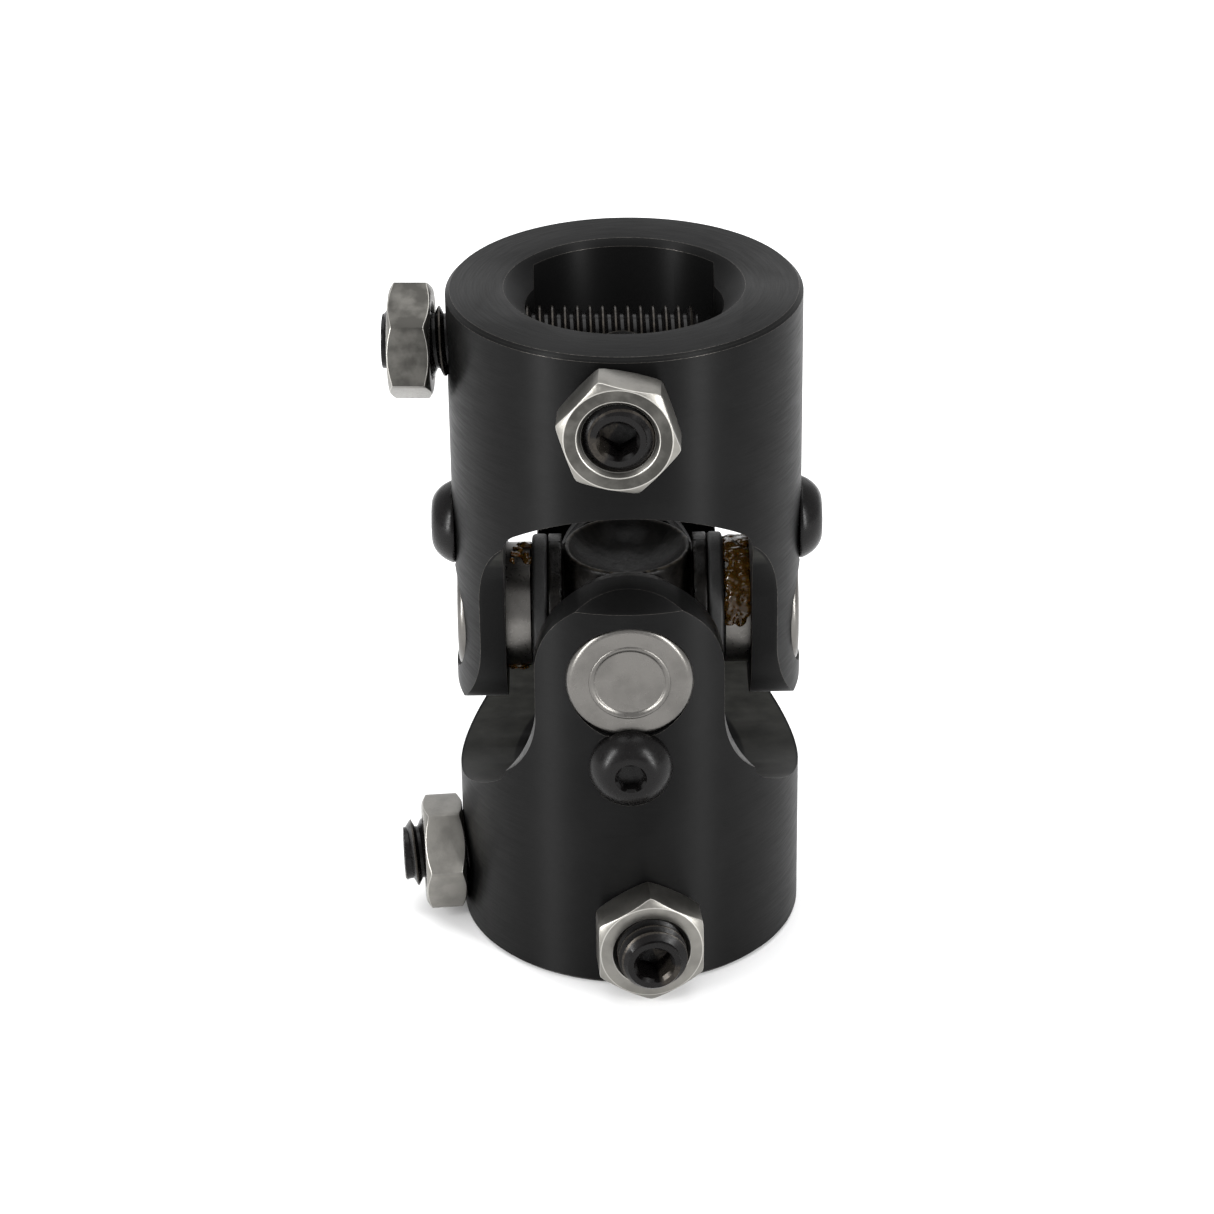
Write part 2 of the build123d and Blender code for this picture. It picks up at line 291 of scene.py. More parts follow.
def cut_thread(start, end, major, pitch, steps, chamfer):
    """A bmesh of a 60 degree thread along Z, tapered at both ends and left open."""
    minor = major - 0.6134 * pitch
    verts = []
    bm = bmesh.new()
    turns = math.ceil((end - start) / pitch) + 2
    for turn in range(turns):
        foot = start + (turn - 1.5) * pitch
        for radius, rise in ((major, 0), (major, 0.125), (minor, 0.4375), (minor, 0.6875)):
            verts.append(bm.verts.new((radius, 0, foot + rise * pitch)))
    edges = [bm.edges.new(pair) for pair in zip(verts, verts[1:])]
    bmesh.ops.spin(
        bm,
        geom=verts + edges,
        cent=(0, 0, 0),
        axis=(0, 0, 1),
        dvec=(0, 0, pitch / steps),
        angle=math.tau,
        steps=steps,
        use_merge=False,
    )
    bmesh.ops.remove_doubles(bm, verts=bm.verts, dist=0.005 * MM)
    for height, normal, clear in (
        (start, (0, 0, -1), True),
        (start + chamfer, (0, 0, -1), False),
        (end - chamfer, (0, 0, 1), False),
        (end, (0, 0, 1), True),
    ):
        bmesh.ops.bisect_plane(
            bm,
            geom=bm.verts[:] + bm.edges[:] + bm.faces[:],
            dist=0.001 * MM,
            plane_co=(0, 0, height),
            plane_no=normal,
            clear_outer=clear,
        )
    layer = bm.verts.layers.float.new("crest")
    for vert in bm.verts:
        radius = math.hypot(vert.co.x, vert.co.y)
        vert[layer] = (radius - minor) / (major - minor)
        depth = min(vert.co.z - start, end - vert.co.z)
        limit = major - max(0.0, chamfer - depth)
        if radius > limit:
            vert.co.x *= limit / radius
            vert.co.y *= limit / radius
    return bm


# ---- Settings ------------------------------------------------------------------


class JointYokeLook(bpy.types.PropertyGroup):
    """Finish of the yokes and the cross."""

    oxide: FloatVectorProperty(
        name="Black oxide",
        description="Colour of the yokes",
        subtype="COLOR",
        default=hex_colour("060606"),
    )
    milled: FloatVectorProperty(
        name="Milled floor",
        description="Colour of the milled slot floors",
        subtype="COLOR",
        default=hex_colour("30302d"),
    )
    bare: FloatVectorProperty(
        name="Bare edge",
        description="Steel that shows on worn edges",
        subtype="COLOR",
        default=hex_colour("5c5955"),
    )
    forging: FloatVectorProperty(
        name="Forging skin",
        description="Colour of the cross",
        subtype="COLOR",
        default=hex_colour("080706"),
    )
    edge: FloatProperty(
        name="Broken edge", description="Width of the broken edges", unit="LENGTH", default=0.3 * MM
    )
    voxel: FloatProperty(
        name="Forging voxel", description="Fineness of the cross", unit="LENGTH", default=0.2 * MM
    )


class JointFastenerLook(bpy.types.PropertyGroup):
    """Sizes and finish of the screws and nuts."""

    pitch: FloatProperty(
        name="Thread pitch", description="18 threads to the inch", unit="LENGTH", default=25.4 / 18 * MM
    )
    thread_steps: IntProperty(name="Thread steps", description="Facets in one turn", default=48)
    across: FloatProperty(
        name="Across flats", description="Width of the jam nuts", unit="LENGTH", default=12.0 * MM
    )
    nut: FloatVectorProperty(
        name="Zinc",
        description="Colour of the jam nuts",
        subtype="COLOR",
        default=hex_colour("82807b"),
    )
    screw: FloatVectorProperty(
        name="Screw oxide",
        description="Colour of the screws",
        subtype="COLOR",
        default=hex_colour("090808"),
    )
    crest: FloatVectorProperty(
        name="Worn crest",
        description="Colour of the rubbed thread crests",
        subtype="COLOR",
        default=hex_colour("3e3a35"),
    )


class JointBearingLook(bpy.types.PropertyGroup):
    """Finish of the bearings and their grease."""

    cup: FloatVectorProperty(
        name="Bearing steel",
        description="Colour of the cups",
        subtype="COLOR",
        default=hex_colour("676562"),
    )
    rubber: FloatVectorProperty(
        name="Seal rubber",
        description="Colour of the seals",
        subtype="COLOR",
        default=hex_colour("131313"),
    )
    grease: FloatVectorProperty(
        name="Grease",
        description="Colour of the grease",
        subtype="COLOR",
        default=hex_colour("6a4a18"),
    )


class JointStageLook(bpy.types.PropertyGroup):
    """Floor, lights and camera."""

    sky: FloatVectorProperty(
        name="Surroundings",
        description="Colour of the studio",
        subtype="COLOR",
        default=hex_colour("f6f6f7"),
    )
    sky_strength: FloatProperty(
        name="Surroundings' strength", description="Light from all round", default=0.85
    )
    floor: FloatVectorProperty(
        name="Floor",
        description="Colour of the floor",
        subtype="COLOR",
        default=hex_colour("f4f4f4"),
    )
    elevation: FloatProperty(
        name="Camera elevation",
        description="Camera above the horizon",
        subtype="ANGLE",
        default=math.radians(28.17),
    )
    roll: FloatProperty(
        name="Camera roll", description="Turn about the view", subtype="ANGLE", default=math.radians(0.82)
    )
    distance: FloatProperty(
        name="Camera distance", description="Camera to the shaft axis", unit="LENGTH", default=0.4497
    )
    lens: FloatProperty(name="Lens", description="Focal length in millimetres", default=114.6)
    aim_x: FloatProperty(name="Aim across", description="Aim point in X", unit="LENGTH", default=-2.42 * MM)
    aim_z: FloatProperty(
        name="Aim height",
        description="Aim point above the joint's centre",
        unit="LENGTH",
        default=-0.72 * MM,
    )


# ---- Materials -----------------------------------------------------------------

NOISE, RANGE, MIX = "ShaderNodeTexNoise", "ShaderNodeMapRange", "ShaderNodeMix"
MATH, BUMP, ATTRIBUTE = "ShaderNodeMath", "ShaderNodeBump", "ShaderNodeAttribute"
PRINCIPLED, OUTPUT = "ShaderNodeBsdfPrincipled", "ShaderNodeOutputMaterial"
SMOOTH = {"interpolation_type": "SMOOTHSTEP"}


def add_node(tree, kind, inputs=None, **settings):
    """Adds a shader node with its settings. An input takes a value, a socket or a node."""
    node = tree.nodes.new(kind)
    for name, value in settings.items():
        setattr(node, name, value)
    for key, value in (inputs or {}).items():
        socket = next((s for s in node.inputs if s.name == key and s.enabled), None) or node.inputs[key]
        if isinstance(value, bpy.types.Node):
            value = next(s for s in value.outputs if s.enabled)
        if isinstance(value, bpy.types.NodeSocket):
            tree.links.new(value, socket)
        elif socket.type == "RGBA":
            socket.default_value = (*value[:3], 1.0)
        else:
            socket.default_value = value
    return node


def start_material(name):
    """An empty material, and the object coordinates that its patterns read."""
    material = bpy.data.materials.new(name)
    material.use_nodes = True
    tree = material.node_tree
    tree.nodes.clear()
    return material, tree, add_node(tree, "ShaderNodeTexCoord").outputs["Object"]


def turned_black_oxide():
    """Black-oxide turned steel: a thin dark skin with fine rings, bare where it is rubbed."""
    material, tree, place = start_material("black_oxide_turned_steel")
    prefs = look("joint_yokes")
    # Tool marks run round the shaft, so they are stretched by 16 across X and Y. They are
    # 0.1 mm apart on the real part, and drawn 0.25 mm apart so that they show.
    lathe = add_node(tree, "ShaderNodeMapping", {"Vector": place, "Scale": (0.06, 0.06, 1.0)})
    slow = add_node(tree, "ShaderNodeSeparateXYZ", {"Vector": lathe})
    axes = add_node(tree, "ShaderNodeSeparateXYZ", {"Vector": place})
    flat = add_node(tree, "ShaderNodeCombineXYZ", {"X": axes.outputs["X"], "Y": axes.outputs["Y"]})
    radius = add_node(tree, "ShaderNodeVectorMath", {0: flat}, operation="LENGTH").outputs["Value"]
    rings_at = add_node(
        tree, "ShaderNodeCombineXYZ", {"X": radius, "Y": slow.outputs["X"], "Z": slow.outputs["Z"]}
    )
    rings = add_node(
        tree,
        NOISE,
        {
            "Vector": rings_at, "W": slow.outputs["Y"], "Scale": per_mm(0.25),
            "Detail": 4.0, "Roughness": 0.6,
        },
        noise_dimensions="4D",
    )
    # Turned faces are the outside and the two ends; all the rest is milled
    outside = add_node(
        tree,
        RANGE,
        {"Value": radius, "From Min": BODY_RADIUS - 0.35 * MM, "From Max": BODY_RADIUS - 0.2 * MM},
    )
    from_centre = add_node(tree, MATH, {0: axes.outputs["Z"], 1: CENTRE.z}, operation="SUBTRACT")
    height = add_node(tree, MATH, {0: from_centre}, operation="ABSOLUTE")
    at_end = add_node(
        tree,
        RANGE,
        {"Value": height, "From Min": CENTRE.z - 0.35 * MM, "From Max": CENTRE.z - 0.2 * MM},
    )
    skin = add_node(tree, MATH, {0: outside, 1: at_end}, operation="MAXIMUM")
    blotch = add_node(tree, NOISE, {"Vector": place, "Scale": per_mm(6.0), "Detail": 5.0})
    cloud = add_node(tree, RANGE, {"Value": blotch, "From Min": 0.4, "From Max": 0.65}, **SMOOTH)
    speck = add_node(tree, NOISE, {"Vector": place, "Scale": per_mm(0.4), "Detail": 3.0})
    # Fly-cutter marks on the milled faces, 0.6 mm apart
    feed = add_node(tree, "ShaderNodeMapping", {"Vector": place, "Scale": (0.2, 0.2, 1.0)})
    cutter = add_node(tree, NOISE, {"Vector": feed, "Scale": per_mm(0.6), "Detail": 4.0})
    oxide = add_node(
        tree,
        MIX,
        {"Factor": cloud, "A": prefs.oxide, "B": [c * 1.5 for c in prefs.oxide]},
        data_type="RGBA",
    )
    # Milled grey with cutter marks shows only on the open slot floors; the ear tips and the sockets are
    # kept dark oxide as painted shade
    past_ears = add_node(
        tree, RANGE, {"Value": height, "From Min": EAR_TIP, "From Max": EAR_TIP + 1.5 * MM}
    )
    past_socket = add_node(
        tree,
        RANGE,
        {"Value": radius, "From Min": SOCKET_RADIUS, "From Max": SOCKET_RADIUS + 0.3 * MM},
    )
    floors = add_node(tree, MATH, {0: past_ears, 1: past_socket}, operation="MULTIPLY")
    scuff_and_painted_shade = add_node(tree, MATH, {0: cutter, 1: floors}, operation="MULTIPLY")
    milled = add_node(
        tree, MIX, {"Factor": scuff_and_painted_shade, "A": prefs.oxide, "B": prefs.milled}, data_type="RGBA"
    )
    ground = add_node(tree, MIX, {"Factor": skin, "A": milled, "B": oxide}, data_type="RGBA")
    edge = add_node(tree, ATTRIBUTE, attribute_name="edge_wear").outputs["Fac"]
    patchy = add_node(
        tree, RANGE, {"Value": speck, "From Min": 0.35, "From Max": 0.6, "To Min": 0.3}, **SMOOTH
    )
    worn = add_node(tree, MATH, {0: edge, 1: patchy}, operation="MULTIPLY")
    colour = add_node(tree, MIX, {"Factor": worn, "A": ground, "B": prefs.bare}, data_type="RGBA")
    ring_gloss = add_node(
        tree,
        RANGE,
        {"Value": rings, "From Min": 0.3, "From Max": 0.7, "To Min": 0.36, "To Max": 0.48},
    )
    rough = add_node(
        tree, MIX, {"Factor": skin, "A": 0.46, "B": ring_gloss}, data_type="FLOAT"
    )
    marks = add_node(tree, BUMP, {"Height": rings, "Distance": 0.02 * MM, "Strength": 0.7})
    grain = add_node(
        tree, BUMP, {"Height": speck, "Distance": 0.01 * MM, "Strength": 0.4, "Normal": marks}
    )
    # The rings draw each highlight out along the shaft
    around = add_node(tree, "ShaderNodeTangent", direction_type="RADIAL", axis="Z")
    surface = add_node(
        tree,
        PRINCIPLED,
        {
            "Base Color": colour,
            "Metallic": worn,
            "Roughness": rough,
            "Specular IOR Level": 0.1,
            "Anisotropic": 0.85,
            "Anisotropic Rotation": 0.25,
            "Tangent": around,
            "Normal": grain,
        },
    )
    add_node(tree, OUTPUT, {"Surface": surface})
    return material


def black_forging():
    """Drop-forged steel under scale: matt and pebbled, brown-grey where the rims are rubbed."""
    material, tree, place = start_material("black_scale_forged_steel")
    prefs = look("joint_yokes")
    pebble = add_node(tree, NOISE, {"Vector": place, "Scale": per_mm(0.9), "Detail": 5.0})
    grit = add_node(tree, NOISE, {"Vector": place, "Scale": per_mm(0.22), "Detail": 3.0})
    patch = add_node(tree, RANGE, {"Value": pebble, "From Min": 0.35, "From Max": 0.65}, **SMOOTH)
    scale = add_node(
        tree,
        MIX,
        {"Factor": patch, "A": prefs.forging, "B": [c * 2.4 for c in prefs.forging]},
        data_type="RGBA",
    )
    edge = add_node(tree, ATTRIBUTE, attribute_name="edge_wear").outputs["Fac"]
    rubbed = add_node(tree, MATH, {0: edge, 1: patch}, operation="MULTIPLY")
    colour = add_node(
        tree, MIX, {"Factor": rubbed, "A": scale, "B": hex_colour("7a7164")}, data_type="RGBA"
    )
    rough = add_node(
        tree, RANGE, {"Value": grit, "From Min": 0.3, "From Max": 0.7, "To Min": 0.3, "To Max": 0.46}
    )
    coarse = add_node(tree, BUMP, {"Height": pebble, "Distance": 0.15 * MM, "Strength": 0.4})
    fine = add_node(
        tree, BUMP, {"Height": grit, "Distance": 0.04 * MM, "Strength": 0.5, "Normal": coarse}
    )
    surface = add_node(
        tree,
        PRINCIPLED,
        {
            "Base Color": colour, "Metallic": rubbed, "Roughness": rough,
            "Specular IOR Level": 0.12, "Normal": fine,
        },
    )
    add_node(tree, OUTPUT, {"Surface": surface})
    return material


def zinc_plate():
    """Zinc-plated steel: satin pale grey, brighter where the corners have been tumbled, with painted shade
    on some faces.
    """
    material, tree, place = start_material("zinc_plated_steel")
    prefs = look("joint_fasteners")
    cloud = add_node(tree, NOISE, {"Vector": place, "Scale": per_mm(2.4), "Detail": 4.0})
    # Bar-stock draw marks, 0.25 mm apart
    drawn = add_node(tree, NOISE, {"Vector": place, "Scale": per_mm(0.25), "Detail": 4.0})
    dull = add_node(
        tree, RANGE, {"Value": cloud, "From Min": 0.4, "From Max": 0.7, "To Max": 0.45}, **SMOOTH
    )
    plate = add_node(
        tree,
        MIX,
        {"Factor": dull, "A": prefs.nut, "B": [c * 0.55 for c in prefs.nut]},
        data_type="RGBA",
    )
    # Painted shade: an attribute on the nuts darkens the plate unevenly and makes it rougher
    shade_marks = add_node(tree, ATTRIBUTE, attribute_name="painted_shade").outputs["Fac"]
    uneven = add_node(tree, RANGE, {"Value": cloud, "From Min": 0.35, "From Max": 0.6, "To Min": 0.75})
    painted_shade = add_node(tree, MATH, {0: shade_marks, 1: uneven}, operation="MULTIPLY")
    shaded = add_node(
        tree,
        MIX,
        {"Factor": painted_shade, "A": plate, "B": [c * 0.22 for c in prefs.nut]},
        data_type="RGBA",
    )
    edge = add_node(tree, ATTRIBUTE, attribute_name="edge_wear").outputs["Fac"]
    colour = add_node(
        tree, MIX, {"Factor": edge, "A": shaded, "B": hex_colour("a3a19c")}, data_type="RGBA"
    )
    satin = add_node(
        tree, RANGE, {"Value": drawn, "From Min": 0.3, "From Max": 0.7, "To Min": 0.3, "To Max": 0.42}
    )
    rough = add_node(tree, MIX, {"Factor": painted_shade, "A": satin, "B": 0.5}, data_type="FLOAT")
    dents = add_node(tree, BUMP, {"Height": drawn, "Distance": 0.01 * MM, "Strength": 0.4})
    surface = add_node(
        tree,
        PRINCIPLED,
        {"Base Color": colour, "Metallic": 1.0, "Roughness": rough, "Normal": dents},
    )
    add_node(tree, OUTPUT, {"Surface": surface})
    return material


def black_oxide_screw(name, crest_share):
    """Black-oxide alloy screw steel: oily black, with brown-grey steel on rubbed crests."""
    material, tree, place = start_material(name)
    prefs = look("joint_fasteners")
    speck = add_node(tree, NOISE, {"Vector": place, "Scale": per_mm(0.4), "Detail": 4.0})
    crest = add_node(tree, ATTRIBUTE, attribute_name="crest").outputs["Fac"]
    top = add_node(tree, RANGE, {"Value": crest, "From Min": 0.85, "From Max": 1.0}, **SMOOTH)
    patchy = add_node(
        tree,
        RANGE,
        {
            "Value": speck, "From Min": 0.3, "From Max": 0.6,
            "To Min": 0.45 * crest_share, "To Max": crest_share,
        },
        **SMOOTH,
    )
    worn = add_node(tree, MATH, {0: top, 1: patchy}, operation="MULTIPLY")
    colour = add_node(
        tree, MIX, {"Factor": worn, "A": prefs.screw, "B": prefs.crest}, data_type="RGBA"
    )
    rough = add_node(
        tree, RANGE, {"Value": speck, "From Min": 0.3, "From Max": 0.7, "To Min": 0.22, "To Max": 0.34}
    )
    skin = add_node(tree, BUMP, {"Height": speck, "Distance": 0.012 * MM, "Strength": 0.2})
    surface = add_node(
        tree,
        PRINCIPLED,
        {
            "Base Color": colour, "Metallic": worn, "Roughness": rough,
            "Specular IOR Level": 0.15, "Normal": skin,
        },
    )
    add_node(tree, OUTPUT, {"Surface": surface})
    return material


def ground_steel(name, colour, roughness):
    """Ground bearing steel: warm and bright, with an even fine grain and faint stains."""
    material, tree, place = start_material(name)
    grain = add_node(tree, NOISE, {"Vector": place, "Scale": per_mm(0.3), "Detail": 4.0})
    stain = add_node(tree, NOISE, {"Vector": place, "Scale": per_mm(3.0), "Detail": 3.0})
    dull = add_node(
        tree, RANGE, {"Value": stain, "From Min": 0.4, "From Max": 0.7, "To Max": 0.4}, **SMOOTH
    )
    tone = add_node(
        tree, MIX, {"Factor": dull, "A": colour, "B": [c * 0.6 for c in colour]}, data_type="RGBA"
    )
    rough = add_node(
        tree,
        RANGE,
        {
            "Value": grain, "From Min": 0.3, "From Max": 0.7,
            "To Min": roughness - 0.04, "To Max": roughness + 0.06,
        },
    )
    lapped = add_node(tree, BUMP, {"Height": grain, "Distance": 0.006 * MM, "Strength": 0.4})
    surface = add_node(
        tree,
        PRINCIPLED,
        {"Base Color": tone, "Metallic": 1.0, "Roughness": rough, "Normal": lapped},
    )
    add_node(tree, OUTPUT, {"Surface": surface})
    return material


def nitrile_rubber():
    """Moulded nitrile rubber: soft black with a faint mould grain."""
    material, tree, place = start_material("moulded_nitrile_rubber")
    grain = add_node(tree, NOISE, {"Vector": place, "Scale": per_mm(0.25), "Detail": 3.0})
    rough = add_node(
        tree, RANGE, {"Value": grain, "From Min": 0.3, "From Max": 0.7, "To Min": 0.48, "To Max": 0.66}
    )
    skin = add_node(tree, BUMP, {"Height": grain, "Distance": 0.02 * MM, "Strength": 0.5})
    surface = add_node(
        tree,
        PRINCIPLED,
        {"Base Color": look("joint_bearings").rubber, "Roughness": rough, "IOR": 1.52, "Normal": skin},
    )
    add_node(tree, OUTPUT, {"Surface": surface})
    return material


def natural_nylon():
    """Moulded natural nylon: creamy and waxy, slightly mottled."""
    material, tree, place = start_material("moulded_natural_nylon")
    mottle = add_node(tree, NOISE, {"Vector": place, "Scale": per_mm(1.5), "Detail": 3.0})
    tone = add_node(
        tree,
        MIX,
        {"Factor": mottle, "A": hex_colour("ddd6c2"), "B": hex_colour("c9c0a8")},
        data_type="RGBA",
    )
    skin = add_node(tree, BUMP, {"Height": mottle, "Distance": 0.02 * MM, "Strength": 0.3})
    surface = add_node(
        tree, PRINCIPLED, {"Base Color": tone, "Roughness": 0.45, "IOR": 1.53, "Normal": skin}
    )
    add_node(tree, OUTPUT, {"Surface": surface})
    return material


def lithium_grease():
    """Amber lithium grease: wet and translucent, darker where it has gathered."""
    material, tree, place = start_material("amber_lithium_grease")
    amber = look("joint_bearings").grease
    thick = add_node(tree, NOISE, {"Vector": place, "Scale": per_mm(1.2), "Detail": 3.0})
    tone = add_node(
        tree, MIX, {"Factor": thick, "A": amber, "B": [c * 0.3 for c in amber]}, data_type="RGBA"
    )
    lumps = add_node(tree, BUMP, {"Height": thick, "Distance": 0.06 * MM, "Strength": 0.4})
    surface = add_node(
        tree,
        PRINCIPLED,
        {
            "Base Color": tone,
            "Roughness": 0.16,
            "IOR": 1.47,
            "Transmission Weight": 0.4,
            "Subsurface Weight": 0.2,
            "Subsurface Scale": 0.5 * MM,
            "Normal": lumps,
        },
    )
    add_node(tree, OUTPUT, {"Surface": surface})
    return material


def studio_paper():
    """Pale backdrop paper: flat white with a faint fibre."""
    material, tree, place = start_material("studio_paper")
    fibre = add_node(tree, NOISE, {"Vector": place, "Scale": per_mm(1.0), "Detail": 3.0})
    skin = add_node(tree, BUMP, {"Height": fibre, "Distance": 0.02 * MM, "Strength": 0.1})
    surface = add_node(
        tree,
        PRINCIPLED,
        {
            "Base Color": look("joint_stage").floor,
            "Roughness": 0.9,
            "Specular IOR Level": 0.1,
            "Normal": skin,
        },
    )
    add_node(tree, OUTPUT, {"Surface": surface})
    return material


# ---- Pieces --------------------------------------------------------------------


class JOINT_OT_make_yokes(bpy.types.Operator):
    """Makes the two machined yokes with broken and worn edges"""

    bl_idname = "joint.make_yokes"
    bl_label = "Make yokes"

    def execute(self, context):
        material = turned_black_oxide()
        for node in ("lower_yoke", "upper_yoke"):
            bm = merged_copy(node)
            soften_edges(bm, context.scene.joint_yokes.edge, 28, "edge_wear")
            piece = finish_piece(
                f"{node}_body", bm, Matrix(), material, node, node, 24
            )
            true_round(piece)
        return {"FINISHED"}


class JOINT_OT_make_cross(bpy.types.Operator):
    """Makes the forged cross with soft, rubbed edges"""

    bl_idname = "joint.make_cross"
    bl_label = "Make cross"

    def execute(self, context):
        prefs = context.scene.joint_yokes
        bm = remeshed(context, frame["nodes"]["cross"].data.copy(), prefs.voxel)
        layer = bm.verts.layers.float.new("edge_wear")
        # Past the shoulders the trunnions are ground, and stay true
        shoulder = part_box("right_seal")[0].x - 1.8 * MM
        forged = [v for v in bm.verts if max(abs(v.co.x), abs(v.co.y)) < shoulder]
        relax(bm, forged, 3)
        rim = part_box("cross")[1].z - CENTRE.z
        for vert in forged:
            height = abs(vert.co.z - CENTRE.z)
            vert[layer] = min(1.0, max(0.0, (height - rim + 0.7 * MM) / (0.6 * MM)))
            vert.co += vert.normal * noise.noise(vert.co * per_mm(1.7)) * 0.05 * MM
        finish_piece("cross_forging", bm, Matrix(), black_forging(), "cross", "cross", 60)
        return {"FINISHED"}


class JOINT_OT_make_bearings(bpy.types.Operator):
    """Makes the cups and seals of the four bearings, and gives their thrust pads and needles a finish"""

    bl_idname = "joint.make_bearings"
    bl_label = "Make bearings"

    def execute(self, context):
        prefs = context.scene.joint_bearings
        steel = ground_steel("ground_bearing_steel", list(prefs.cup), 0.3)
        needle = ground_steel("lapped_needle_steel", hex_colour("b4b4b2"), 0.18)
        rubber, nylon = nitrile_rubber(), natural_nylon()
        for side, (axis, yoke) in SIDES.items():
            self.make_cup(side, axis, yoke, steel)
            self.make_seal(side, axis, yoke, rubber)
            for part, material in (("thrust_pad", nylon), ("needle_rollers", needle)):
                cad = frame["nodes"][f"{side}_{part}"]
                cad.data.materials.clear()
                cad.data.materials.append(material)
        return {"FINISHED"}

    def make_seal(self, side, axis, yoke, rubber):
        """A moulded ring with rounded shoulders."""
        node = f"{side}_seal"
        inner, outer = reach(node, CENTRE, axis)
        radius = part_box(node)[1].z - CENTRE.z
        bore, soft = radius - 3.0 * MM, 0.45 * MM
        profile = [(bore, inner), (radius - soft, inner)]
        profile += [
            (radius - soft + soft * math.sin(a), inner + soft - soft * math.cos(a)) for a in arc(15, 90, 5)
        ]
        profile += [
            (radius - soft + soft * math.cos(a), outer - soft + soft * math.sin(a)) for a in arc(0, 90, 5)
        ]
        profile += [(bore, outer), (bore, inner)]
        bm = turn_profile(profile, 96)
        finish_piece(f"{node}_ring", bm, facing(CENTRE, axis), rubber, node, yoke, 50)

    def make_cup(self, side, axis, yoke, steel):
        """A drawn cup: rounded rim, pressed recess with a soft shoulder, open mouth."""
        node = f"{side}_bearing_cup"
        mouth, face = reach(node, CENTRE, axis)
        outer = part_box(node)[1].z - CENTRE.z
        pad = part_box(f"{side}_thrust_pad")
        bore = pad[1].z - CENTRE.z
        floor = reach(f"{side}_thrust_pad", CENTRE, axis)[1]
        # Radii of the rim, the recess and its two bends, its depth, and the broken mouth
        edge, recess, lip_bend, sink_bend = 0.9 * MM, 4.4 * MM, 0.25 * MM, 0.3 * MM
        ledge, broken = 0.32 * MM, 0.2 * MM
        foot = recess - 0.62 * MM
        rim = [
            (outer - edge + edge * math.cos(a), face - edge + edge * math.sin(a)) for a in arc(0, 90, 6)
        ]
        lip = [
            (recess + lip_bend * math.sin(a), face - lip_bend * (1 - math.cos(a))) for a in arc(60, 0, 4)
        ]
        sink = [
            (foot + sink_bend * math.sin(a), face - ledge + sink_bend * (1 - math.cos(a)))
            for a in arc(60, 0, 4)
        ]
        profile = [(0, floor), (bore, floor), (bore, mouth + 1.5 * broken), (bore + broken, mouth)]
        profile += [(outer - broken, mouth), (outer, mouth + broken)] + rim + lip + sink
        profile += [(recess - 0.9 * MM, face - ledge), (0, face - ledge)]
        bm = turn_profile(profile, 96)
        finish_piece(f"{node}_shell", bm, facing(CENTRE, axis), steel, node, yoke, 40)


class JOINT_OT_make_cup_screws(bpy.types.Operator):
    """Makes the button-head screws that hold the bearing cups"""

    bl_idname = "joint.make_cup_screws"
    bl_label = "Make cup screws"

    def execute(self, context):
        material = black_oxide_screw("black_oxide_button_head", 0.0)
        for side, (axis, yoke) in SIDES.items():
            node = f"{side}_cup_screw"
            low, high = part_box(node)
            point = Vector((0, 0, (low.z + high.z) / 2))
            start, end = reach(node, point, axis)
            head = (high.z - low.z) / 2
            seat = end - 2.75 * MM
            brim = seat + 0.3 * MM
            shank, crown = 2.5 * MM, 0.42 * head
            dome = [
                (crown + (head - crown) * math.sin(a), brim + (end - brim) * math.cos(a) ** 1.5)
                for a in arc(89.9, 0, 14)
            ]
            profile = [(0, start), (shank - 0.5 * MM, start), (shank, start + 0.5 * MM), (shank, seat)]
            profile += [(head - 0.25 * MM, seat), (head - 0.06 * MM, seat + 0.08 * MM)] + dome
            bm = turn_profile(profile, 72)
            sink_hexagon(bm, cap_at(bm, end), 3.0 * MM, 1.6 * MM)
            place = facing(point, axis, 30)
            finish_piece(f"{node}_button", bm, place, material, node, yoke, 35)
        return {"FINISHED"}


class JOINT_OT_make_set_screws(bpy.types.Operator):
    """Makes the threaded socket set screws"""

    bl_idname = "joint.make_set_screws"
    bl_label = "Make set screws"

    def execute(self, context):
        prefs = context.scene.joint_fasteners
        material = black_oxide_screw("black_oxide_set_screw", 0.65)
        for name in SET_SCREWS:
            node = f"{name}_set_screw"
            axis = Vector(SLIDES[node]["axis"])
            low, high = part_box(node)
            point = Vector((0, 0, (low.z + high.z) / 2))
            start, end = reach(node, point, axis)
            major = (high.z - low.z) / 2
            chamfer = 0.92 * MM
            bm = cut_thread(start, end, major, prefs.pitch, prefs.thread_steps, chamfer)
            bmesh.ops.recalc_face_normals(bm, faces=bm.faces)
            tip = cap_at(bm, start)
            step_in(bm, tip, lambda a: 0.42 * major, start)
            step_in(bm, tip, lambda a: 0.05 * major, start + 0.35 * major)
            sink_hexagon(bm, cap_at(bm, end), 3.97 * MM, 4.0 * MM)
            place = facing(point, axis, SOCKET_TURNS[name])
            finish_piece(f"{node}_thread", bm, place, material, node, node, 32)
        return {"FINISHED"}


